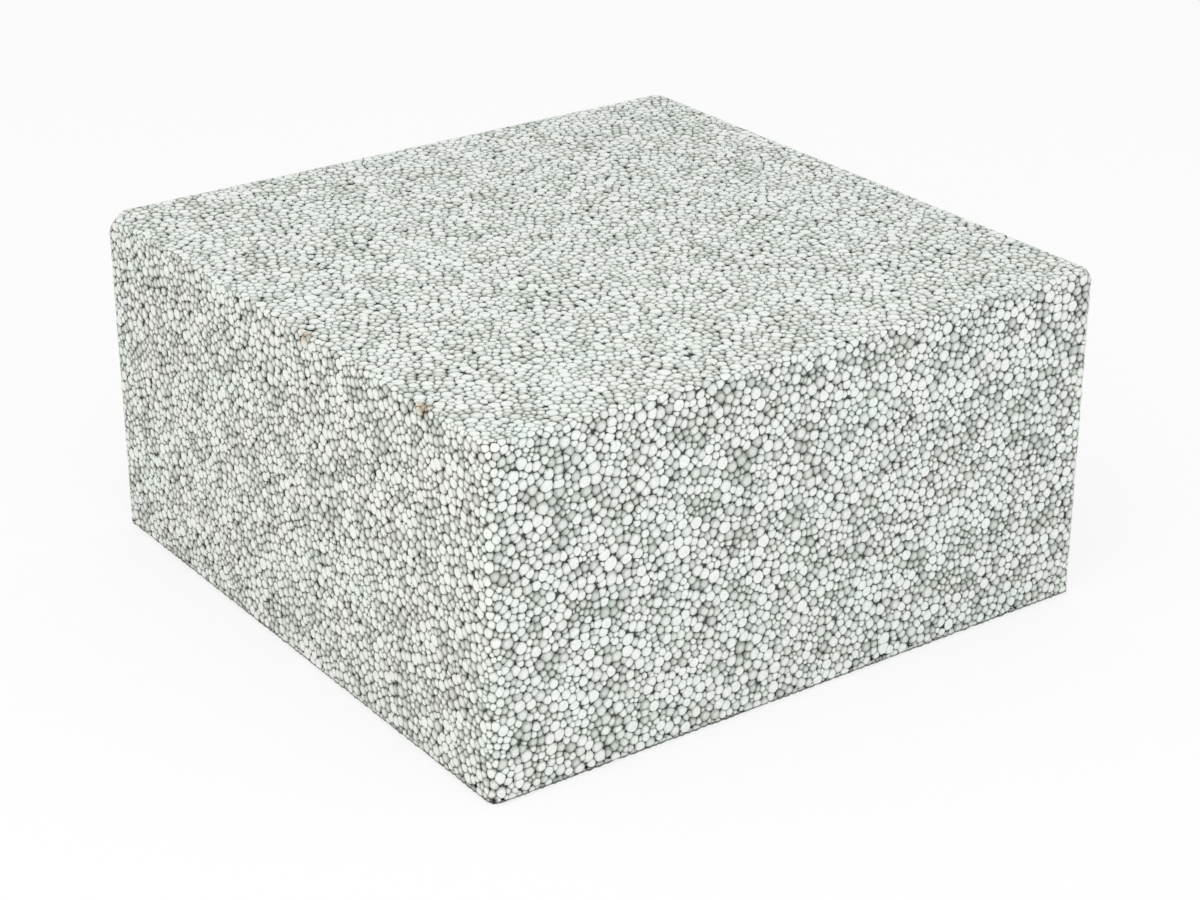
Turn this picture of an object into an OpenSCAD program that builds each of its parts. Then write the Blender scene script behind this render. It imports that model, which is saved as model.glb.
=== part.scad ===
// Block of expanded bead foam, square in plan and half as high as it is long.
// The origin is the middle of the face that it rests on, and +Z is up.
// Seen from above, its upright corners go anticlockwise: front, right, back and left.
// Handling has worn the top end of each corner round, each to its own extent.

/* [Overall size] */
// Length of the block along X
block_length = 300; // [100:1:600]
// Width of the block along Y
block_width = 300; // [100:1:600]
// Height of the block
block_height = 150; // [40:1:400]

/* [Upright corners] */
// Radius of the front corner, where the -X and -Y sides meet
front_corner_r = 5; // [2.5:0.5:40]
// Radius of the right corner, where the -Y and +X sides meet
right_corner_r = 2.5; // [2.5:0.5:40]
// Radius of the back corner, where the +X and +Y sides meet
back_corner_r = 3; // [2.5:0.5:40]
// Radius of the left corner, where the +Y and -X sides meet
left_corner_r = 2.5; // [2.5:0.5:40]

/* [Worn tips] */
// How far from the front corner's top end the wear starts, along each edge
front_tip_r = 10; // [3:1:38]
// How far from the right corner's top end the wear starts
right_tip_r = 10; // [3:1:38]
// How far from the back corner's top end the wear starts
back_tip_r = 10; // [3:1:38]
// How far from the left corner's top end the wear starts
left_tip_r = 16; // [3:1:38]

/* [Rims] */
// Radius of the edge round the top face
top_edge_r = 2; // [0.5:0.1:2.4]
// Radius of the edge round the bottom face
base_edge_r = 1; // [0.4:0.1:2.4]

/* [Hidden] */

foam_white = "#EBF0EB";
arc_facets = 64;
overcut = 1;

// Side 0 faces -Y and runs from the front corner to the right one; the rest follow anticlockwise
side_angles = [-90, 0, 90, 180];
// How far each side lies from the upright axis, and how long it is
side_offsets = [block_width / 2, block_length / 2, block_width / 2, block_length / 2];
side_lengths = [block_length, block_width, block_length, block_width];
// The corner where each side starts; it ends at the next side's
corner_radii = [front_corner_r, right_corner_r, back_corner_r, left_corner_r];
tip_radii = [front_tip_r, right_tip_r, back_tip_r, left_tip_r];

// The band inside the sides is as deep as the largest corner
band = max(corner_radii);

// What rounding takes off a square corner at the origin
module corner_waste(r) {
    difference() {
        square(r);
        translate([r, r])
            circle(r, $fn = arc_facets);
    }
}

// Upright section of the block's rim, from its inner side at 0 out to its face at reach
module rim_section(reach) {
    difference() {
        square([reach, block_height]);
        translate([reach, block_height])
            rotate(180)
                corner_waste(top_edge_r);
        translate([reach, 0])
            rotate(90)
                corner_waste(base_edge_r);
    }
}

// A quarter round post, whose arc is the upright corner before a side that faces +X
module corner_post(r) {
    rotate(-90)
        rotate_extrude(angle = 90, $fn = arc_facets)
            rim_section(r);
}

// A straight length of rim, which faces +X and runs along Y from y_start to y_end
module straight_rim(y_start, y_end) {
    translate([0, y_end, 0])
        rotate([90, 0, 0])
            linear_extrude(height = y_end - y_start)
                rim_section(band);
}

// One side, turned to face +X, with the corner that it starts from
module side(i) {
    start_r = corner_radii[i];
    end_r = corner_radii[(i + 1) % 4];
    half = side_lengths[i] / 2;
    translate([side_offsets[i] - start_r, start_r - half, 0])
        corner_post(start_r);
    translate([side_offsets[i] - band, 0, 0])
        straight_rim(start_r - half, half - end_r);
}

// What wear takes off the top end of the corner before a side, down to a ball that touches
// the three edges there, as if they were sharp, at the tip's radius from the corner
module tip_wear(i) {
    r = tip_radii[i];
    translate([side_offsets[i] - r, r - side_lengths[i] / 2, block_height - r])
        difference() {
            rotate(-90)
                cube(r + overcut);
            sphere(sqrt(2) * r, $fn = arc_facets);
        }
}

module foam_block() {
    color(foam_white)
        difference() {
            union() {
                for (i = [0 : 3])
                    rotate(side_angles[i])
                        side(i);
                translate([band - block_length / 2, band - block_width / 2, 0])
                    cube([block_length - 2 * band, block_width - 2 * band, block_height]);
            }
            for (i = [0 : 3])
                rotate(side_angles[i])
                    tip_wear(i);
        }
}

foam_block();
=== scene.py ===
# A block of expanded bead foam: thousands of white beads fused together, with grey gaps between them.
import math
import re
import bpy
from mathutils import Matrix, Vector


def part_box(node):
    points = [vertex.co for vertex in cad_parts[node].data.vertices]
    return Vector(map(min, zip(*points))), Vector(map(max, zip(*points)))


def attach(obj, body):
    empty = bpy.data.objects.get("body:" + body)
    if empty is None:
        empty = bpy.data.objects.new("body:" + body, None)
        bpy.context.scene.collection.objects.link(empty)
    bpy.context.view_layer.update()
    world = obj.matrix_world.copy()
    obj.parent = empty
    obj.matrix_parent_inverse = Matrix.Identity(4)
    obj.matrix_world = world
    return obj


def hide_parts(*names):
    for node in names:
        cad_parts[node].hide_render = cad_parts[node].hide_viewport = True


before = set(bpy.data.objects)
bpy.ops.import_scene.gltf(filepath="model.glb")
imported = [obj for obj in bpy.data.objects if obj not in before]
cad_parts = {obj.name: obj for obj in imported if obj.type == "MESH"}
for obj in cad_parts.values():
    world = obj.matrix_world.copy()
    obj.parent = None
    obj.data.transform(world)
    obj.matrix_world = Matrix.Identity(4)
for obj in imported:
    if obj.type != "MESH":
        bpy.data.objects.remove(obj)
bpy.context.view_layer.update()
mm = 0.001

# the type of each attribute that the trees store and read back
fields = {
    "outward": "FLOAT_VECTOR", "facing": "FLOAT_VECTOR", "sink": "FLOAT_VECTOR", "home": "FLOAT_VECTOR",
    "aim": "FLOAT_VECTOR", "spot": "FLOAT_VECTOR", "laid": "FLOAT_VECTOR", "turn": "QUATERNION",
    "depth": "FLOAT", "low": "FLOAT", "reach": "FLOAT", "tint": "FLOAT", "gap": "FLOAT", "soil": "FLOAT",
    "luck": "FLOAT", "lost": "FLOAT", "bead": "INT",
}


def linear(hexColour):
    # sRGB hex to the linear colour that a shader takes
    parts = [int(hexColour[i:i + 2], 16) / 255 for i in (1, 3, 5)]
    return [c / 12.92 if c <= 0.04045 else ((c + 0.055) / 1.055) ** 2.4 for c in parts] + [1.0]


def addNode(tree, kind, settings={}, links={}):
    # settings are the node's own properties, the values of its inputs or the stops of its ramp, and links
    # feed its inputs from a node, from one of its sockets, or from the attribute of that name
    node = tree.nodes.new(kind)
    for name, value in settings.items():
        if name == "stops":
            elements = node.color_ramp.elements
            while len(elements) < len(value):
                elements.new(0.5)
            for element, (position, colour) in zip(elements, value.items()):
                element.position = position
                element.color = linear(colour)
        elif isinstance(name, str) and hasattr(node, name):
            setattr(node, name, value)
        else:
            node.inputs[name].default_value = value
    for name, source in links.items():
        if isinstance(source, str):
            source = addNode(tree, "GeometryNodeInputNamedAttribute",
                             {"data_type": fields[source], "Name": source})
        if hasattr(source, "outputs"):
            source = next(output for output in source.outputs if output.enabled)
        tree.links.new(source, node.inputs[name])
    return node


# The form of the block. Corners are in X and Y, each with the radius in mm of its upright edge and of
# its worn tip.
low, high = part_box("foam_block")
half = (high - low) / 2
middle = (high + low) / 2
blockForm = {
    "corners": {(-1, -1): (5, 10), (1, -1): (2.5, 10), (1, 1): (3, 10), (-1, 1): (2.5, 16)},
    "topEdge": 2 * mm,
    "baseEdge": 1 * mm,
    "sunkEdge": 3,    # least radius of a sunken skin's edges, as a multiple of its depth
    # how far in from each side the lines of a skin's grid run, and the cells between the innermost
    "lines": [d * mm for d in (0, 0.3, 0.7, 1.2, 1.8, 2.5, 3.5, 5, 6.5, 8, 9.5, 11, 13, 15, 17, 19)],
    "cells": 4,
}


def onBlock(point, sunk):
    # the nearest place at that depth under the block's surface, and the way out of the block there
    side = Vector((math.copysign(1, point.x), math.copysign(1, point.y), 1))
    corner, tip = [r * mm for r in blockForm["corners"][(int(side.x), int(side.y))]]
    edge = blockForm["topEdge"] if point.z > middle.z else blockForm["baseEdge"]
    # below the surface the edges are rounder, so that they stay clear of the beads which bend round them
    corner, edge = [max(r, blockForm["sunkEdge"] * sunk) for r in (corner, edge)]
    flat = Vector((min(abs(point.x), half.x - corner), min(abs(point.y), half.y - corner)))
    over = Vector((abs(point.x), abs(point.y))) - flat
    if over.length > corner - edge:
        over *= (corner - edge) / over.length
    inner = Vector((
        side.x * (flat.x + over.x),
        side.y * (flat.y + over.y),
        min(max(point.z, low.z + edge), high.z - edge),
    ))
    out = (point - inner).normalized()
    place = inner + out * (edge - sunk)
    # a worn tip is part of a ball that touches the three edges at the tip's radius from the corner
    ball = Vector((side.x * (half.x - tip), side.y * (half.y - tip), high.z - tip))
    reach = place - ball
    if min(r * s for r, s in zip(reach, side)) > 0 and reach.length > math.sqrt(2) * tip - sunk:
        out = reach.normalized()
        place = ball + out * (math.sqrt(2) * tip - sunk)
    return place, out


def blockSkin(name, sunk=0.0):
    # a closed grid over the block's surface, finer towards its edges, which may lie below the surface
    lines = []
    cells = blockForm["cells"]
    for axis in range(3):
        near = [low[axis] + d for d in blockForm["lines"]]
        far = [high[axis] - d for d in reversed(blockForm["lines"])]
        between = [near[-1] + (far[0] - near[-1]) * i / cells for i in range(1, cells)]
        lines.append(near + between + far)
    last = len(lines[0]) - 1
    places, faces, outward = [], [], []
    index = {}

    def vertex(spot):
        if spot not in index:
            place, out = onBlock(Vector([lines[axis][spot[axis]] for axis in range(3)]), sunk)
            index[spot] = len(places)
            places.append(place)
            outward.append(out)
        return index[spot]

    for axis in range(3):
        for end in (0, last):
            for i in range(last):
                for j in range(last):
                    ring = []
                    for di, dj in ((0, 0), (1, 0), (1, 1), (0, 1)):
                        spot = [0, 0, 0]
                        spot[axis] = end
                        spot[(axis + 1) % 3] = i + di
                        spot[(axis + 2) % 3] = j + dj
                        ring.append(vertex(tuple(spot)))
                    faces.append(ring if end else ring[::-1])
    mesh = bpy.data.meshes.new(name)
    mesh.from_pydata(places, [], faces)
    way = mesh.attributes.new("outward", "FLOAT_VECTOR", "POINT")
    way.data.foreach_set("vector", [c for out in outward for c in out])
    skin = bpy.data.objects.new(name, mesh)
    bpy.context.scene.collection.objects.link(skin)
    return skin


def newTree(name, sockets):
    # a tree with the named inputs; returns it, their sockets and their identifiers
    tree = bpy.data.node_groups.new(name, "GeometryNodeTree")
    tree.interface.new_socket("Geometry", in_out="INPUT", socket_type="NodeSocketGeometry")
    tree.interface.new_socket("Geometry", in_out="OUTPUT", socket_type="NodeSocketGeometry")
    keys = {}
    for label, kind in sockets.items():
        socket = tree.interface.new_socket(label, in_out="INPUT", socket_type="NodeSocket" + kind)
        keys[label] = socket.identifier
    return tree, addNode(tree, "NodeGroupInput").outputs, keys


def spelled(values):
    # a dictionary's keys as the trees spell them: rimGap becomes Rim gap
    return {re.sub("([A-Z])", r" \1", key).capitalize(): value for key, value in values.items()}


def frozen(carrier, tree, keys, values, name):
    # what the tree makes of the carrier, as an object with a plain mesh
    growing = carrier.modifiers.new(name, "NODES")
    growing.node_group = tree
    for label, key in keys.items():
        growing[key] = values[label]
    shape = carrier.evaluated_get(bpy.context.evaluated_depsgraph_get())
    mesh = bpy.data.meshes.new_from_object(shape)
    carrier.modifiers.remove(growing)
    mesh.name = name
    piece = bpy.data.objects.new(name, mesh)
    bpy.context.scene.collection.objects.link(piece)
    return piece


# Beads are parted on a surface this far above the skin. Its edges are rounder than the skin's, so
# a bead's middle is nearer to its own place on it than to what lies round the edge.
lift = 1.2 * mm
legs = 3                 # straight legs of a spoke that follows the skin
halvings = 9             # times that the step is halved while a spoke feels for its end
spare = 1e-5             # what rounding may take from a bead's facing
together = 0.001 * mm    # points of a bead that lie closer than this become one


def addFrames(tree, beads, skin):
    # gives each bead its home on the skin, the way out there, the way in to its middle, and its turn
    place = addNode(tree, "GeometryNodeInputPosition")
    facing = addNode(tree, "GeometryNodeSampleNearestSurface", {"data_type": "FLOAT_VECTOR"},
                     {"Mesh": skin, "Value": "outward", "Sample Position": place})
    height = addNode(tree, "ShaderNodeMath", {"operation": "SUBTRACT", 0: lift}, {1: "depth"})
    sink = addNode(tree, "ShaderNodeVectorMath", {"operation": "SCALE"}, {0: facing, "Scale": height})
    turn = addNode(tree, "FunctionNodeAlignRotationToVector", {"axis": "Z"}, {"Vector": facing})
    for name, value in {"facing": facing, "sink": sink, "home": place, "turn": turn}.items():
        beads = addNode(tree, "GeometryNodeStoreNamedAttribute", {"data_type": fields[name], "Name": name},
                        {0: beads, "Value": value})
    middles = addNode(tree, "GeometryNodeSetPosition", {}, {0: beads, "Offset": "sink"})
    return beads, middles


def alongSkin(tree, skin, length):
    # where a spoke of that length ends, if it leaves its bead's home and follows the skin round an edge
    step = addNode(tree, "ShaderNodeMath", {"operation": "DIVIDE", 1: legs}, {0: length})
    place, aim = "home", "aim"
    for leg in range(legs):
        ahead = addNode(tree, "ShaderNodeVectorMath", {"operation": "MULTIPLY_ADD"},
                        {0: aim, 1: step, 2: place})
        place = addNode(tree, "GeometryNodeProximity", {"target_element": "FACES"},
                        {0: skin, "Sample Position": ahead})
        outward = addNode(tree, "GeometryNodeSampleNearestSurface", {"data_type": "FLOAT_VECTOR"},
                          {"Mesh": skin, "Value": "outward", "Sample Position": place})
        rise = addNode(tree, "ShaderNodeVectorMath", {"operation": "PROJECT"}, {0: aim, 1: outward})
        level = addNode(tree, "ShaderNodeVectorMath", {"operation": "SUBTRACT"}, {0: aim, 1: rise})
        aim = addNode(tree, "ShaderNodeVectorMath", {"operation": "NORMALIZE"}, {0: level})
    return place, outward


def addReach(tree, spokes, middles, skin, longest):
    # how far each spoke runs until another bead's middle is nearer: every step is half the one before
    reach = addNode(tree, "ShaderNodeMath", {"operation": "MULTIPLY", 1: 0.5}, {0: longest})
    spokes = addNode(tree, "GeometryNodeStoreNamedAttribute", {"data_type": "FLOAT", "Name": "reach"},
                     {0: spokes, "Value": reach})
    for halving in range(2, halvings + 1):
        step = addNode(tree, "ShaderNodeMath", {"operation": "MULTIPLY", 1: 0.5 ** halving}, {0: longest})
        back = addNode(tree, "ShaderNodeMath", {"operation": "MULTIPLY", 1: -1.0}, {0: step})
        end, outward = alongSkin(tree, skin, "reach")
        above = addNode(tree, "ShaderNodeVectorMath", {"operation": "MULTIPLY_ADD", 1: (lift, lift, lift)},
                        {0: outward, 2: end})
        owner = addNode(tree, "GeometryNodeSampleNearest", {}, {0: middles, "Sample Position": above})
        other = addNode(tree, "FunctionNodeCompare", {"data_type": "INT", "operation": "NOT_EQUAL"},
                        {"A": owner, "B": "bead"})
        change = addNode(tree, "GeometryNodeSwitch", {"input_type": "FLOAT"},
                         {"Switch": other, "False": step, "True": back})
        changed = addNode(tree, "ShaderNodeMath", {"operation": "ADD"}, {0: "reach", 1: change})
        spokes = addNode(tree, "GeometryNodeStoreNamedAttribute", {"data_type": "FLOAT", "Name": "reach"},
                         {0: spokes, "Value": changed})
    return spokes


beadPack = {
    "closest": 1.5 * mm,    # no two beads are strewn closer than this
    "density": 123000.0,    # beads strewn on a square metre, before the close ones go
    "largest": 2.9 * mm,    # radius that the shallowest beads show
    "smallest": 1.3 * mm,   # radius that the deepest beads show
    "rarity": 1.4,          # how much rarer the large beads are than the small ones, 1 being not at all
    "patch": 11 * mm,       # width of a patch of larger or smaller beads
    "sway": 1.1,            # how far the patches rule over a bead's size
    "longest": 5 * mm,      # how far a bead can reach to its neighbours
    "spokes": 8,            # ways in which a bead feels for its neighbours
    "rounds": 2,            # times that the beads shift into the room they have
    "seed": 7,
}


def addDepths(tree, beads, given):
    # each bead's middle lies under the surface: the deeper it lies, the smaller the bead shows
    chance = addNode(tree, "FunctionNodeRandomValue", {"data_type": "FLOAT"}, {"Seed": given["Seed"]})
    finer = addNode(tree, "ShaderNodeMath", {"operation": "DIVIDE", 0: 1.0}, {1: given["Patch"]})
    patches = addNode(tree, "ShaderNodeTexNoise", {"Detail": 1.0}, {"Scale": finer})
    swing = addNode(tree, "ShaderNodeMath", {"operation": "SUBTRACT", 1: 0.5}, {0: patches})
    rare = addNode(tree, "ShaderNodeMath", {"operation": "POWER"}, {0: chance, 1: given["Rarity"]})
    swayed = addNode(tree, "ShaderNodeMath", {"operation": "MULTIPLY_ADD", "use_clamp": True},
                     {0: swing, 1: given["Sway"], 2: rare})
    size = addNode(tree, "ShaderNodeMapRange", {}, {0: swayed, 3: given["Smallest"], 4: given["Largest"]})
    bigSquare = addNode(tree, "ShaderNodeMath", {"operation": "MULTIPLY"},
                        {0: given["Largest"], 1: given["Largest"]})
    square = addNode(tree, "ShaderNodeMath", {"operation": "MULTIPLY"}, {0: size, 1: size})
    left = addNode(tree, "ShaderNodeMath", {"operation": "SUBTRACT"}, {0: bigSquare, 1: square})
    depth = addNode(tree, "ShaderNodeMath", {"operation": "SQRT"}, {0: left})
    return addNode(tree, "GeometryNodeStoreNamedAttribute", {"data_type": "FLOAT", "Name": "depth"},
                   {0: beads, "Value": depth})


def addSpokes(tree, beads, count):
    # so many points at each bead's home, which know the way that they go and the number of their bead
    spokes = addNode(tree, "GeometryNodeDuplicateElements", {"domain": "POINT"},
                     {0: beads, "Amount": count})
    step = addNode(tree, "ShaderNodeMath", {"operation": "DIVIDE", 0: math.tau}, {1: count})
    angle = addNode(tree, "ShaderNodeMath", {"operation": "MULTIPLY"},
                    {0: step, 1: spokes.outputs["Duplicate Index"]})
    cosine = addNode(tree, "ShaderNodeMath", {"operation": "COSINE"}, {0: angle})
    sine = addNode(tree, "ShaderNodeMath", {"operation": "SINE"}, {0: angle})
    ray = addNode(tree, "ShaderNodeCombineXYZ", {}, {0: cosine, 1: sine})
    aim = addNode(tree, "FunctionNodeRotateVector", {}, {"Vector": ray, "Rotation": "turn"})
    index = addNode(tree, "GeometryNodeInputIndex")
    turns = addNode(tree, "ShaderNodeMath", {"operation": "DIVIDE"}, {0: index, 1: count})
    owner = addNode(tree, "ShaderNodeMath", {"operation": "FLOOR"}, {0: turns})
    for name, value in {"aim": aim, "bead": owner}.items():
        spokes = addNode(tree, "GeometryNodeStoreNamedAttribute", {"data_type": fields[name], "Name": name},
                         {0: spokes, "Value": value})
    return spokes


def addSettling(tree, beads, spokes, skin, count):
    # a bead moves to the middle of its own cell, which is its spokes' wedges of the cell together: a
    # wedge's area goes with the square of its length, and its middle lies two thirds of the way out
    square = addNode(tree, "ShaderNodeMath", {"operation": "POWER", 1: 2.0}, {0: "reach"})
    cube = addNode(tree, "ShaderNodeMath", {"operation": "POWER", 1: 3.0}, {0: "reach"})
    pull = addNode(tree, "ShaderNodeVectorMath", {"operation": "SCALE"}, {0: "aim", "Scale": cube})
    index = addNode(tree, "GeometryNodeInputIndex")
    first = addNode(tree, "ShaderNodeMath", {"operation": "MULTIPLY"}, {0: index, 1: count})
    sums = []
    for kind, value in (("FLOAT_VECTOR", pull), ("FLOAT", square)):
        total = addNode(tree, "GeometryNodeAccumulateField", {"data_type": kind},
                        {"Value": value, "Group ID": "bead"})
        sums.append(addNode(tree, "GeometryNodeSampleIndex", {"data_type": kind},
                            {0: spokes, "Value": total.outputs["Total"], "Index": first}))
    share = addNode(tree, "ShaderNodeMath", {"operation": "DIVIDE", 0: 2 / 3}, {1: sums[1]})
    move = addNode(tree, "ShaderNodeVectorMath", {"operation": "SCALE"}, {0: sums[0], "Scale": share})
    goal = addNode(tree, "ShaderNodeVectorMath", {"operation": "ADD"}, {0: "home", 1: move})
    landed = addNode(tree, "GeometryNodeProximity", {"target_element": "FACES"},
                     {0: skin, "Sample Position": goal})
    return addNode(tree, "GeometryNodeSetPosition", {}, {0: beads, "Position": landed})


def packTree():
    tree, given, keys = newTree("Pack beads", {
        "Closest": "Float", "Density": "Float", "Largest": "Float", "Smallest": "Float",
        "Rarity": "Float", "Patch": "Float", "Sway": "Float", "Longest": "Float", "Spokes": "Int",
        "Rounds": "Int", "Seed": "Int",
    })
    skin = given["Geometry"]
    strewn = addNode(tree, "GeometryNodeDistributePointsOnFaces", {"distribute_method": "POISSON"},
                     {"Mesh": skin, "Distance Min": given["Closest"], "Density Max": given["Density"],
                      "Seed": given["Seed"]})
    strewn = addDepths(tree, strewn, given)

    # in every round each bead feels for its neighbours and settles between them
    start = addNode(tree, "GeometryNodeRepeatInput")
    end = addNode(tree, "GeometryNodeRepeatOutput")
    start.pair_with_output(end)
    tree.links.new(given["Rounds"], start.inputs["Iterations"])
    tree.links.new(strewn.outputs[0], start.inputs["Geometry"])
    beads, middles = addFrames(tree, start.outputs["Geometry"], skin)
    spokes = addSpokes(tree, beads, given["Spokes"])
    spokes = addReach(tree, spokes, middles, skin, given["Longest"])
    beads = addSettling(tree, beads, spokes, skin, given["Spokes"])
    tree.links.new(beads.outputs[0], end.inputs["Geometry"])
    packed = addNode(tree, "GeometryNodePointsToVertices", {}, {0: end.outputs["Geometry"]})
    addNode(tree, "NodeGroupOutput", {}, {0: packed})
    return tree, keys


beadShape = {
    "spokes": 10,           # round each bead
    "round": 0.93,          # a crown's rim reaches no further than this much of the bead's mean radius
    "footRound": 1.23,      # the same at the foot, so a pit is left only where the corner is wide
    "bend": 0.8,            # how much further both reach round a square edge
    "taper": 0.04,          # share of its radius that the crown loses to its rounded shoulder
    "rimGap": 0.06 * mm,    # from the rim to the plane half way to the next bead
    "footGap": 0.02 * mm,   # the same at the foot of the gap
    "crown": 0.14,          # how far the rim lies below the middle, as a share of the radius
    "groove": 0.4 * mm,     # depth of the gap
    "uneven": 0.22 * mm,    # how far chance may lower a bead, and a bead's smallness as well
    "unevenRarity": 3.0,    # how rarely chance lowers it much, 1 being evenly
    "patch": 9 * mm,        # width of a patch of whiter or greyer beads
    "sway": 1.5,            # how far the patches rule over a bead's tint
    "chance": 0.75,         # how far chance rules over it
    "smallGrey": 0.5,       # how much greyer a bead is for its smallness: painted shade, since a small bead lies deeper between larger ones
    "smallest": 3.48 * mm,  # depth of a bead's middle at which its smallness counts in full
    "dustSway": 4.5,        # how far the same patches rule over the dust and painted shade in the gaps
    "edgeShade": 0.61,      # share of the gap's painted shade that a crown's rim has
    "edgeSway": 0.45,       # how much more of it a grey bead's rim has than a white one's
    "lost": 0.03,           # share of the smallest beads that have fallen out
    "lostSize": 1.2 * mm,   # radius under which a bead may be one of them
    "margin": 4 * mm,       # left round each strip in its map, for what turns down over an edge
    "seed": 3,
}


def addTraits(tree, beads, given):
    # how grey a bead is, how low it lies, its luck, the dust and painted shade in the gap round it, and its
    # own number
    chance = addNode(tree, "FunctionNodeRandomValue", {"data_type": "FLOAT"}, {"Seed": given["Seed"]})
    finer = addNode(tree, "ShaderNodeMath", {"operation": "DIVIDE", 0: 1.0}, {1: given["Patch"]})
    patches = addNode(tree, "ShaderNodeTexNoise", {"Detail": 2.0}, {"Scale": finer})
    swing = addNode(tree, "ShaderNodeMath", {"operation": "SUBTRACT", 1: 0.5}, {0: patches})
    milder = addNode(tree, "ShaderNodeMath", {"operation": "MULTIPLY"}, {0: chance, 1: given["Chance"]})
    tint = addNode(tree, "ShaderNodeMath", {"operation": "MULTIPLY_ADD"},
                   {0: swing, 1: given["Sway"], 2: milder})
    # a small bead lies deeper, so it is painted greyer for the shade that it lies in
    small = addNode(tree, "ShaderNodeMath", {"operation": "DIVIDE"}, {0: "depth", 1: given["Smallest"]})
    tint = addNode(tree, "ShaderNodeMath", {"operation": "MULTIPLY_ADD", "use_clamp": True},
                   {0: small, 1: given["Small grey"], 2: tint})
    nextSeed = addNode(tree, "ShaderNodeMath", {"operation": "ADD", 1: 1.0}, {0: given["Seed"]})
    chance = addNode(tree, "FunctionNodeRandomValue", {"data_type": "FLOAT"}, {"Seed": nextSeed})
    rare = addNode(tree, "ShaderNodeMath", {"operation": "POWER"}, {0: chance, 1: given["Uneven rarity"]})
    lower = addNode(tree, "ShaderNodeMath", {"operation": "ADD"}, {0: rare, 1: small})
    lower = addNode(tree, "ShaderNodeMath", {"operation": "MULTIPLY"}, {0: lower, 1: given["Uneven"]})
    lostSeed = addNode(tree, "ShaderNodeMath", {"operation": "ADD", 1: 2.0}, {0: given["Seed"]})
    luck = addNode(tree, "FunctionNodeRandomValue", {"data_type": "FLOAT"}, {"Seed": lostSeed})
    index = addNode(tree, "GeometryNodeInputIndex")
    # each side's grey scales the tint: painted shade that makes the side lighter or darker for how light
    # falls on it
    greyed = addNode(tree, "ShaderNodeMath", {"operation": "MULTIPLY"}, {0: tint, 1: given["Grey"]})
    dustAndShade = addNode(tree, "ShaderNodeMath", {"operation": "MULTIPLY_ADD", "use_clamp": True},
                   {0: swing, 1: given["Dust sway"], 2: given["Gap dust and shade"]})
    for name, value in {"tint": greyed, "low": lower, "luck": luck, "soil": dustAndShade, "bead": index}.items():
        beads = addNode(tree, "GeometryNodeStoreNamedAttribute", {"data_type": fields[name], "Name": name},
                        {0: beads, "Value": value})
    return beads


def inStrip(tree, given):
    # 1 for a bead that faces this side most and lies in this strip of it
    size = addNode(tree, "ShaderNodeVectorMath", {"operation": "ABSOLUTE"}, {0: "facing"})
    parts = addNode(tree, "ShaderNodeSeparateXYZ", {}, {0: size}).outputs
    most = addNode(tree, "ShaderNodeMath", {"operation": "MAXIMUM"}, {0: parts[0], 1: parts[1]})
    most = addNode(tree, "ShaderNodeMath", {"operation": "MAXIMUM"}, {0: most, 1: parts[2]})
    nearMost = addNode(tree, "ShaderNodeMath", {"operation": "SUBTRACT", 1: spare}, {0: most})
    toSide = addNode(tree, "ShaderNodeVectorMath", {"operation": "DOT_PRODUCT"},
                     {0: "facing", 1: given["Facing"]})
    isSide = addNode(tree, "ShaderNodeMath", {"operation": "GREATER_THAN"}, {0: toSide, 1: nearMost})
    fromMiddle = addNode(tree, "ShaderNodeVectorMath", {"operation": "SUBTRACT"},
                         {0: "home", 1: given["Middle"]})
    along = addNode(tree, "ShaderNodeVectorMath", {"operation": "DOT_PRODUCT"},
                    {0: fromMiddle, 1: given["Along"]})
    after = addNode(tree, "ShaderNodeMath", {"operation": "GREATER_THAN"}, {0: along, 1: given["From"]})
    before = addNode(tree, "ShaderNodeMath", {"operation": "LESS_THAN"}, {0: along, 1: given["To"]})
    within = addNode(tree, "ShaderNodeMath", {"operation": "MULTIPLY"}, {0: after, 1: before})
    return addNode(tree, "ShaderNodeMath", {"operation": "MULTIPLY"}, {0: isSide, 1: within})


def beadDisc(tree, count):
    # a disc with a wall below its rim; each point keeps its spoke in X and Y, and -1 in Z at the foot
    disc = addNode(tree, "GeometryNodeMeshCircle", {"fill_type": "TRIANGLE_FAN"}, {"Vertices": count})
    neighbours = addNode(tree, "GeometryNodeInputMeshEdgeNeighbors")
    border = addNode(tree, "FunctionNodeCompare", {"data_type": "INT", "operation": "EQUAL", "B": 1},
                     {"A": neighbours})
    disc = addNode(tree, "GeometryNodeSetShadeSmooth", {"domain": "EDGE", "Shade Smooth": False},
                   {0: disc, "Selection": border})
    disc = addNode(tree, "GeometryNodeExtrudeMesh", {"mode": "EDGES", "Offset Scale": -1.0},
                   {0: disc, "Selection": border})
    return addNode(tree, "GeometryNodeStoreNamedAttribute", {"data_type": "FLOAT_VECTOR", "Name": "spot"},
                   {0: disc, "Value": addNode(tree, "GeometryNodeInputPosition")})


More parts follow.
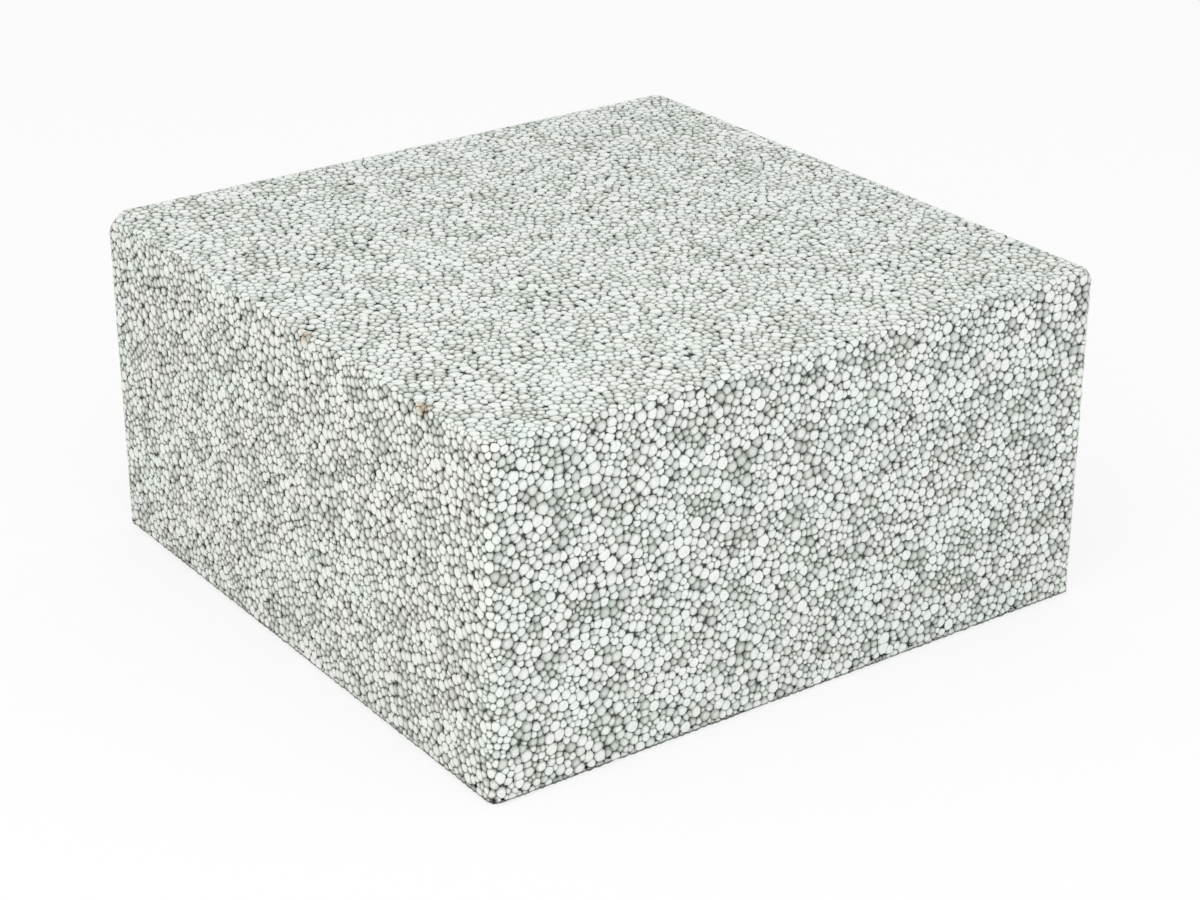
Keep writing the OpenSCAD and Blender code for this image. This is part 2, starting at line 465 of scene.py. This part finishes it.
def spokeLength(tree, skin, given, ring, foot, mean):
    # no spoke is much longer than the bead's mean, which leaves a pit where three beads meet
    roundness = addNode(tree, "ShaderNodeMapRange", {}, {0: foot, 3: given["Round"], 4: given["Foot round"]})
    # but one that goes round an edge may be longer
    outwardThere = alongSkin(tree, skin, "reach")[1]
    straight = addNode(tree, "ShaderNodeVectorMath", {"operation": "DOT_PRODUCT"},
                       {0: outwardThere, 1: "facing"})
    bent = addNode(tree, "ShaderNodeMath", {"operation": "SUBTRACT", 0: 1.0}, {1: straight})
    allowed = addNode(tree, "ShaderNodeMath", {"operation": "MULTIPLY_ADD"},
                      {0: bent, 1: given["Bend"], 2: roundness})
    cap = addNode(tree, "ShaderNodeMath", {"operation": "MULTIPLY"}, {0: mean, 1: allowed})
    capped = addNode(tree, "ShaderNodeMath", {"operation": "MINIMUM"}, {0: "reach", 1: cap})
    taper = addNode(tree, "ShaderNodeMapRange", {4: 0.0}, {0: foot, 3: given["Taper"]})
    kept = addNode(tree, "ShaderNodeMath", {"operation": "SUBTRACT", 0: 1.0}, {1: taper})
    tapered = addNode(tree, "ShaderNodeMath", {"operation": "MULTIPLY"}, {0: capped, 1: kept})
    gap = addNode(tree, "ShaderNodeMapRange", {}, {0: foot, 3: given["Rim gap"], 4: given["Foot gap"]})
    cleared = addNode(tree, "ShaderNodeMath", {"operation": "SUBTRACT"}, {0: tapered, 1: gap})
    length = addNode(tree, "ShaderNodeMath", {"operation": "MULTIPLY"}, {0: cleared, 1: ring})
    return addNode(tree, "ShaderNodeMath", {"operation": "MAXIMUM", 1: 0.0}, {0: length})


def laidFlat(tree, place, given):
    # a bead laid flat for the surface's map: what turns down over an edge goes beyond the side
    flat = addNode(tree, "ShaderNodeVectorMath", {"operation": "SUBTRACT"}, {0: place, 1: given["Middle"]})
    above = addNode(tree, "ShaderNodeVectorMath", {"operation": "DOT_PRODUCT"},
                    {0: flat, 1: given["Facing"]})
    under = addNode(tree, "ShaderNodeMath", {"operation": "MULTIPLY", 1: -1.0}, {0: above})
    spread = []
    for way, halfWay in (("Across", "Half across"), ("Along", "Half along")):
        straight = addNode(tree, "ShaderNodeVectorMath", {"operation": "DOT_PRODUCT"},
                           {0: flat, 1: given[way]})
        stretch = addNode(tree, "ShaderNodeMath", {"operation": "DIVIDE"}, {0: under, 1: given[halfWay]})
        spread.append(addNode(tree, "ShaderNodeMath", {"operation": "MULTIPLY_ADD"},
                              {0: straight, 1: stretch, 2: straight}))
    return addNode(tree, "ShaderNodeCombineXYZ", {}, {0: spread[0], 1: spread[1]})


def addMap(tree, grown, given):
    # the strip's own map, which it fills but for the margin
    laid = addNode(tree, "ShaderNodeSeparateXYZ", {}, {0: "laid"}).outputs
    ends = addNode(tree, "ShaderNodeMath", {"operation": "MULTIPLY", 1: -1.0}, {0: given["Half across"]})
    ranges = []
    for value, first, last in ((laid[0], ends, given["Half across"]), (laid[1], given["From"], given["To"])):
        lowest = addNode(tree, "ShaderNodeMath", {"operation": "SUBTRACT"}, {0: first, 1: given["Margin"]})
        highest = addNode(tree, "ShaderNodeMath", {"operation": "ADD"}, {0: last, 1: given["Margin"]})
        ranges.append(addNode(tree, "ShaderNodeMapRange", {}, {0: value, 1: lowest, 2: highest}))
    uv = addNode(tree, "ShaderNodeCombineXYZ", {}, {0: ranges[0], 1: ranges[1]})
    return addNode(tree, "GeometryNodeStoreNamedAttribute",
                   {"data_type": "FLOAT2", "domain": "CORNER", "Name": "OFBake"}, {0: grown, "Value": uv})


def growTree():
    tree, given, keys = newTree("Grow beads", {
        "Skin": "Object", "Facing": "Vector", "Middle": "Vector", "Across": "Vector", "Along": "Vector",
        "Half across": "Float", "Half along": "Float", "From": "Float", "To": "Float", "Longest": "Float",
        "Spokes": "Int", "Round": "Float", "Foot round": "Float", "Bend": "Float", "Taper": "Float",
        "Rim gap": "Float", "Foot gap": "Float", "Crown": "Float", "Groove": "Float", "Uneven": "Float",
        "Uneven rarity": "Float", "Patch": "Float", "Sway": "Float", "Chance": "Float",
        "Small grey": "Float", "Smallest": "Float", "Dust sway": "Float", "Edge shade": "Float",
        "Edge sway": "Float", "Lost": "Float", "Lost size": "Float", "Grey": "Float", "Gap dust and shade": "Float",
        "Margin": "Float", "Seed": "Int", "Material": "Material",
    })
    skin = addNode(tree, "GeometryNodeObjectInfo", {}, {"Object": given["Skin"]}).outputs["Geometry"]
    beads, middles = addFrames(tree, given["Geometry"], skin)
    beads = addTraits(tree, beads, given)
    chosen = inStrip(tree, given)
    disc = beadDisc(tree, given["Spokes"])
    grown = addNode(tree, "GeometryNodeInstanceOnPoints", {},
                    {"Points": beads, "Selection": chosen, "Instance": disc})
    grown = addNode(tree, "GeometryNodeRealizeInstances", {}, {0: grown})

    # ring is 0 at a bead's middle and 1 at its rim and its foot, and foot is 1 at its foot alone
    spot = addNode(tree, "ShaderNodeSeparateXYZ", {}, {0: "spot"}).outputs
    ray = addNode(tree, "ShaderNodeCombineXYZ", {}, {0: spot[0], 1: spot[1]})
    ring = addNode(tree, "ShaderNodeVectorMath", {"operation": "LENGTH"}, {0: ray})
    foot = addNode(tree, "ShaderNodeMath", {"operation": "MULTIPLY", 1: -1.0}, {0: spot[2]})
    aim = addNode(tree, "FunctionNodeRotateVector", {}, {"Vector": ray, "Rotation": "turn"})
    grown = addNode(tree, "GeometryNodeStoreNamedAttribute", {"data_type": "FLOAT_VECTOR", "Name": "aim"},
                    {0: grown, "Value": aim})
    grown = addReach(tree, grown, middles, skin, given["Longest"])

    # each bead's own radius is the mean of what its spokes reach at the foot
    footReach = addNode(tree, "ShaderNodeMath", {"operation": "MULTIPLY"}, {0: foot, 1: "reach"})
    total = addNode(tree, "GeometryNodeAccumulateField", {"data_type": "FLOAT"},
                    {"Value": footReach, "Group ID": "bead"})
    mean = addNode(tree, "ShaderNodeMath", {"operation": "DIVIDE"},
                   {0: total.outputs["Total"], 1: given["Spokes"]})
    length = spokeLength(tree, skin, given, ring, foot, mean)
    place, outward = alongSkin(tree, skin, length)

    # the crown falls to its rim, and the foot lies at the bottom of the gap
    crown = addNode(tree, "ShaderNodeMath", {"operation": "MULTIPLY"}, {0: mean, 1: given["Crown"]})
    drop = addNode(tree, "ShaderNodeMath", {"operation": "MULTIPLY_ADD"}, {0: ring, 1: crown, 2: "low"})
    drop = addNode(tree, "ShaderNodeMath", {"operation": "MULTIPLY_ADD"},
                   {0: foot, 1: given["Groove"], 2: drop})
    down = addNode(tree, "ShaderNodeMath", {"operation": "MULTIPLY", 1: -1.0}, {0: drop})
    sunk = addNode(tree, "ShaderNodeVectorMath", {"operation": "SCALE"}, {0: outward, "Scale": down})
    moved = addNode(tree, "ShaderNodeVectorMath", {"operation": "ADD"}, {0: place, 1: sunk})

    # the painted shade of the gap reaches up to the rims, and further up on a grey bead
    greyness = addNode(tree, "ShaderNodeMath", {"operation": "SUBTRACT", 1: 0.5}, {0: "tint"})
    edge = addNode(tree, "ShaderNodeMath", {"operation": "MULTIPLY_ADD"},
                   {0: greyness, 1: given["Edge sway"], 2: given["Edge shade"]})
    rimShade = addNode(tree, "ShaderNodeMath", {"operation": "MULTIPLY"}, {0: ring, 1: edge})
    shade = addNode(tree, "ShaderNodeMath", {"operation": "MAXIMUM"}, {0: rimShade, 1: foot})
    for name, value in {"laid": laidFlat(tree, place, given), "gap": shade}.items():
        grown = addNode(tree, "GeometryNodeStoreNamedAttribute", {"data_type": fields[name], "Name": name},
                        {0: grown, "Value": value})

    # a few of the smallest beads are lost, and spokes that have no room end at one place and become one
    unlucky = addNode(tree, "ShaderNodeMath", {"operation": "LESS_THAN"}, {0: "luck", 1: given["Lost"]})
    tiny = addNode(tree, "ShaderNodeMath", {"operation": "LESS_THAN"}, {0: mean, 1: given["Lost size"]})
    lost = addNode(tree, "ShaderNodeMath", {"operation": "MULTIPLY"}, {0: unlucky, 1: tiny})
    grown = addNode(tree, "GeometryNodeStoreNamedAttribute", {"data_type": "FLOAT", "Name": "lost"},
                    {0: grown, "Value": lost})
    grown = addNode(tree, "GeometryNodeSetPosition", {}, {0: grown, "Position": moved})
    grown = addNode(tree, "GeometryNodeDeleteGeometry", {"domain": "POINT"}, {0: grown, "Selection": "lost"})
    grown = addNode(tree, "GeometryNodeMergeByDistance", {"mode": "CONNECTED", "Distance": together},
                    {0: grown})
    grown = addMap(tree, grown, given)

    # of the attributes only those that the material reads are kept
    for name in [*(field for field in fields if field not in ("tint", "gap", "soil")), "id"]:
        grown = addNode(tree, "GeometryNodeRemoveAttribute", {"Name": name}, {0: grown})
    grown = addNode(tree, "GeometryNodeSetShadeSmooth", {}, {0: grown})
    grown = addNode(tree, "GeometryNodeSetMaterial", {}, {0: grown, "Material": given["Material"]})
    addNode(tree, "NodeGroupOutput", {}, {0: grown})
    return tree, keys


foamLook = {
    "ior": 1.5,
    "roughness": 0.6,
    # colour of a bead by its tint
    "crowns": {0.0: "#F5F7F5", 0.5: "#F2F4F2", 0.75: "#E2E5E2", 0.92: "#CDD2CE", 1.0: "#BCC2BE"},
    # painted shade: what is left of it from the middle of the crown to the foot of the gap, darkening the
    # rims and the gaps between beads, darker and browner where dust has settled
    "gaps": {0.38: "#FFFFFF", 0.65: "#DCE0DD", 1.0: "#C0C5C1"},
    "paintedGapShadeWithDust": {0.38: "#FFFFFF", 0.65: "#CDCDC9", 1.0: "#A4A4A0"},
    "casts": {0.35: "#F9FDFA", 0.65: "#FDFBFA"},    # patches that lean to green or to pink
    "castPatch": 22 * mm,
    "mottles": {0.4: "#F4F6F4", 0.6: "#FFFFFF"},    # the skin's cells let the light in unevenly
    "mottle": 1.3 * mm,
    "wrinkle": 0.8 * mm,                            # the moulded skin of each bead is slightly crinkled
    "wrinkleHeight": 0.1 * mm,
    "paintedBaseShadow": "#7F8680",                             # painted shadow along the base, where the block meets the floor, darkening the lowest beads
    "paintedBaseShadowHeight": (1.1 * mm, 1.8 * mm),            # full up to the first, and gone at the second
    # places in mm from the middle of the base, each with the radius of its mark, which is full in the
    # inner share of it
    "inner": 0.3,
    "marks": {
        "stain": {"place": (-150, -107, 150), "radius": 6.5, "colour": "#D6C2AA"},
        "fleck": {"place": (-150, -21, 149), "radius": 5, "colour": "#DECFBF"},
        # the notch is painted shade: a near-black spot where a small notch at the bottom front corner lies
        # in shadow
        "notchShadow": {"place": (-148.5, -148.5, 2), "radius": 2.2, "colour": "#1C1E1D"},
    },
}


def beadFoam():
    # expanded polystyrene, moulded: matt white beads, a few of them greyer, with painted shade from their
    # rims down into the gaps, where some dust lies as well
    material = bpy.data.materials.new("expanded polystyrene beads")
    material.use_nodes = True
    tree = material.node_tree
    tree.nodes.clear()
    tint = addNode(tree, "ShaderNodeAttribute", {"attribute_name": "tint"}).outputs["Fac"]
    gap = addNode(tree, "ShaderNodeAttribute", {"attribute_name": "gap"}).outputs["Fac"]
    place = addNode(tree, "ShaderNodeTexCoord").outputs["Object"]
    castNoise = addNode(tree, "ShaderNodeTexNoise", {"Scale": 1 / foamLook["castPatch"], "Detail": 2.0},
                        {"Vector": place})
    mottleNoise = addNode(tree, "ShaderNodeTexNoise", {"Scale": 1 / foamLook["mottle"]}, {"Vector": place})
    crowns = addNode(tree, "ShaderNodeValToRGB", {"stops": foamLook["crowns"]}, {0: tint})
    gaps = addNode(tree, "ShaderNodeValToRGB", {"stops": foamLook["gaps"]}, {0: gap})
    paintedGapShadeWithDust = addNode(tree, "ShaderNodeValToRGB", {"stops": foamLook["paintedGapShadeWithDust"]}, {0: gap})
    casts = addNode(tree, "ShaderNodeValToRGB", {"stops": foamLook["casts"]}, {0: castNoise})
    mottles = addNode(tree, "ShaderNodeValToRGB", {"stops": foamLook["mottles"]}, {0: mottleNoise})
    soil = addNode(tree, "ShaderNodeAttribute", {"attribute_name": "soil"}).outputs["Fac"]
    mixedGapShade = addNode(tree, "ShaderNodeMix", {"data_type": "RGBA"}, {0: soil, 6: gaps, 7: paintedGapShadeWithDust})
    colour = crowns
    for veil in (mixedGapShade.outputs[2], casts, mottles):
        colour = addNode(tree, "ShaderNodeMix", {"data_type": "RGBA", "blend_type": "MULTIPLY", 0: 1.0},
                         {6: colour, 7: veil}).outputs[2]

    # the painted shadow along the base and the marks darken it as far as each of them reaches
    height = addNode(tree, "ShaderNodeSeparateXYZ", {}, {0: place}).outputs["Z"]
    full, gone = foamLook["paintedBaseShadowHeight"]
    baseShadowShare = addNode(tree, "ShaderNodeMapRange", {1: gone, 2: full}, {0: height})
    shadowsAndMarks = [(baseShadowShare, foamLook["paintedBaseShadow"])]
    for mark in foamLook["marks"].values():
        spot = [c * mm for c in mark["place"]]
        radius = mark["radius"] * mm
        away = addNode(tree, "ShaderNodeVectorMath", {"operation": "DISTANCE", 1: spot}, {0: place})
        marked = addNode(tree, "ShaderNodeMapRange", {1: radius, 2: foamLook["inner"] * radius},
                         {0: away.outputs["Value"]})
        shadowsAndMarks.append((marked, mark["colour"]))
    for share, stain in shadowsAndMarks:
        colour = addNode(tree, "ShaderNodeMix",
                         {"data_type": "RGBA", "blend_type": "MULTIPLY", 7: linear(stain)},
                         {0: share, 6: colour}).outputs[2]
    wrinkles = addNode(tree, "ShaderNodeTexNoise", {"Scale": 1 / foamLook["wrinkle"], "Detail": 3.0},
                       {"Vector": place})
    bump = addNode(tree, "ShaderNodeBump", {"Strength": 1.0, "Distance": foamLook["wrinkleHeight"]},
                   {"Height": wrinkles})
    surface = addNode(tree, "ShaderNodeBsdfPrincipled",
                      {"Roughness": foamLook["roughness"], "IOR": foamLook["ior"]},
                      {"Base Color": colour, "Normal": bump})
    addNode(tree, "ShaderNodeOutputMaterial", {}, {0: surface})
    return material


coreLook = {
    "depth": 1.4 * mm,                             # under the block's surface
    "roughness": 0.8,
    "depths": {0.35: "#4A4F4B", 0.65: "#5B615C"},  # painted shade: dark colours for the foam at the bottom of the gaps, varied by an uneven mottle
    "shadePatch": 3 * mm,
}


def shadedFoam():
    # the same foam at the bottom of the gaps, where little light comes, painted dark as its shade: dark,
    # dull and unevenly mottled
    material = bpy.data.materials.new("foam painted in the shade of the gaps")
    material.use_nodes = True
    tree = material.node_tree
    tree.nodes.clear()
    place = addNode(tree, "ShaderNodeTexCoord").outputs["Object"]
    dustAndShade = addNode(tree, "ShaderNodeTexNoise", {"Scale": 1 / coreLook["shadePatch"], "Detail": 3.0},
                   {"Vector": place})
    depths = addNode(tree, "ShaderNodeValToRGB", {"stops": coreLook["depths"]}, {0: dustAndShade})
    bump = addNode(tree, "ShaderNodeBump", {"Strength": 1.0, "Distance": foamLook["wrinkleHeight"]},
                   {"Height": dustAndShade})
    surface = addNode(tree, "ShaderNodeBsdfPrincipled",
                      {"Roughness": coreLook["roughness"], "IOR": foamLook["ior"]},
                      {"Base Color": depths, "Normal": bump})
    addNode(tree, "ShaderNodeOutputMaterial", {}, {0: surface})
    return material


skin = blockSkin("skin")
packed = frozen(skin, *packTree(), spelled(beadPack), "packed")
print("packed", len(packed.data.vertices), "beads")

# Each side is grown in strips, so that each piece has a fine enough map of its own. Grey is how dark the
# side's greyest beads are, and soil how dusty and how darkly shaded its gaps are, from 0 to 1. Both differ
# from side to side as painted light and shade, for how light falls on each side, and soil stands for dust as
# well.
sides = {
    "top": {"facing": (0, 0, 1), "across": (1, 0, 0), "strips": 4, "grey": 0.76, "soil": 0.25},
    "bottom": {"facing": (0, 0, -1), "across": (1, 0, 0), "strips": 4, "grey": 0.9, "soil": 0.5},
    "front": {"facing": (0, -1, 0), "across": (1, 0, 0), "strips": 2, "grey": 0.88, "soil": 0.35},
    "back": {"facing": (0, 1, 0), "across": (1, 0, 0), "strips": 2, "grey": 0.9, "soil": 0.5},
    "right": {"facing": (1, 0, 0), "across": (0, 1, 0), "strips": 2, "grey": 0.9, "soil": 0.5},
    "left": {"facing": (-1, 0, 0), "across": (0, 1, 0), "strips": 2, "grey": 0.84, "soil": 1.0},
}
foam = beadFoam()
growing = growTree()
pieces = []
for side, plan in sides.items():
    facing = Vector(plan["facing"])
    across = Vector(plan["across"])
    along = facing.cross(across)
    halfAcross = abs(across.dot(half))
    halfAlong = abs(along.dot(half))
    values = {
        "Skin": skin, "Material": foam, "Facing": facing, "Across": across, "Along": along,
        "Middle": middle + facing * abs(facing.dot(half)), "Half across": halfAcross,
        "Half along": halfAlong, "Longest": beadPack["longest"], "Grey": plan["grey"],
        "Gap dust and shade": plan["soil"], **spelled(beadShape),
    }
    for strip in range(plan["strips"]):
        values["From"] = halfAlong * (2 * strip / plan["strips"] - 1)
        values["To"] = halfAlong * (2 * (strip + 1) / plan["strips"] - 1)
        pieces.append(frozen(packed, *growing, values, f"{side}_beads_{strip + 1}"))
    print("grew the", side, "beads:", sum(len(piece.data.polygons) for piece in pieces), "faces so far")
# a dark sheet under the beads, which fills the gaps with painted shade
core = blockSkin("gap_floor", coreLook["depth"])
core.data.attributes.remove(core.data.attributes["outward"])
core.data.materials.append(shadedFoam())
pieces.append(core)
for carrier in (skin, packed):
    bpy.data.objects.remove(carrier)
for piece in pieces:
    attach(piece, "root")
    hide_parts("foam_block")
print("closed the gaps and tied", len(pieces), "pieces to the block")


def seenDirectly(tree):
    # 1 for what is seen by itself or in a reflection, and 0 for what only lights the block
    rays = addNode(tree, "ShaderNodeLightPath").outputs
    seen = addNode(tree, "ShaderNodeMath", {"operation": "MAXIMUM"},
                   {0: rays["Is Camera Ray"], 1: rays["Is Glossy Ray"]})
    return addNode(tree, "ShaderNodeMath", {"operation": "MAXIMUM"},
                   {0: seen, 1: rays["Is Transmission Ray"]})


ground = {
    "reach": 6,            # metres from the middle to each edge
    "colour": "#FAFAFA",
    "glow": 0.72,          # share of what is seen of it that is plain white, the rest taking the shadow
}
floorMesh = bpy.data.meshes.new("floor")
floorMesh.from_pydata([(x * ground["reach"], y * ground["reach"], 0)
                       for x, y in ((-1, -1), (1, -1), (1, 1), (-1, 1))], [], [(0, 1, 2, 3)])
floor = bpy.data.objects.new("floor", floorMesh)
bpy.context.scene.collection.objects.link(floor)
paper = bpy.data.materials.new("white paper")    # matt, so it shows no reflection of the block
paper.use_nodes = True
tree = paper.node_tree
tree.nodes.clear()
glow = addNode(tree, "ShaderNodeMath", {"operation": "MULTIPLY", 1: ground["glow"]}, {0: seenDirectly(tree)})
sheet = addNode(tree, "ShaderNodeBsdfDiffuse", {"Color": linear(ground["colour"])})
white = addNode(tree, "ShaderNodeEmission", {"Color": (1, 1, 1, 1), "Strength": 1.0})
both = addNode(tree, "ShaderNodeMixShader", {}, {0: glow, 1: sheet, 2: white})
addNode(tree, "ShaderNodeOutputMaterial", {}, {0: both})
floor.data.materials.append(paper)

scene = bpy.context.scene
scene.view_settings.view_transform = "Standard"
roomLight = 0.85    # what the room lights the block with, where 1 would be as bright as it is seen
world = bpy.data.worlds.new("studio")
scene.world = world
world.use_nodes = True
tree = world.node_tree
tree.nodes.clear()
strength = addNode(tree, "ShaderNodeMapRange", {3: roomLight, 4: 1.0}, {0: seenDirectly(tree)})
backdrop = addNode(tree, "ShaderNodeBackground", {"Color": (1, 1, 1, 1)}, {"Strength": strength})
addNode(tree, "ShaderNodeOutputWorld", {}, {0: backdrop})

view = {
    "place": (-0.62496, -0.88232, 0.54946),
    "ahead": (0.528977, 0.738601, -0.417914),
    "lens": 81.6,
    "film": 36,
}
camera = bpy.data.objects.new("camera", bpy.data.cameras.new("camera"))
scene.collection.objects.link(camera)
camera.location = view["place"]
camera.rotation_euler = Vector(view["ahead"]).to_track_quat("-Z", "Y").to_euler()
camera.data.lens = view["lens"]
camera.data.sensor_width = view["film"]
scene.camera = camera
print("set the floor, the room and the camera")

# three soft lamps in a bright room: the left one is a little warm, the right one a little cool, and
# the one overhead hangs nearest to the front left corner
softboxes = {
    "overhead": {"place": (-0.45, -0.4, 0.75), "colour": "#F4FAF8", "watts": 2.4},
    "left": {"place": (-0.95, -0.85, 0.65), "colour": "#FFE0E0", "watts": 1.9},
    "right": {"place": (0.5, -1.6, 0.75), "colour": "#C4EAFF", "watts": 1.3},
}
softboxSize = 1.2    # metres across
for name, plan in softboxes.items():
    lamp = bpy.data.objects.new(name + " softbox", bpy.data.lights.new(name + " softbox", "AREA"))
    scene.collection.objects.link(lamp)
    lamp.location = plan["place"]
    lamp.rotation_euler = (middle - lamp.location).to_track_quat("-Z", "Y").to_euler()
    lamp.data.size = softboxSize
    lamp.data.energy = plan["watts"]
    lamp.data.color = linear(plan["colour"])[:3]
print("hung", len(softboxes), "softboxes")
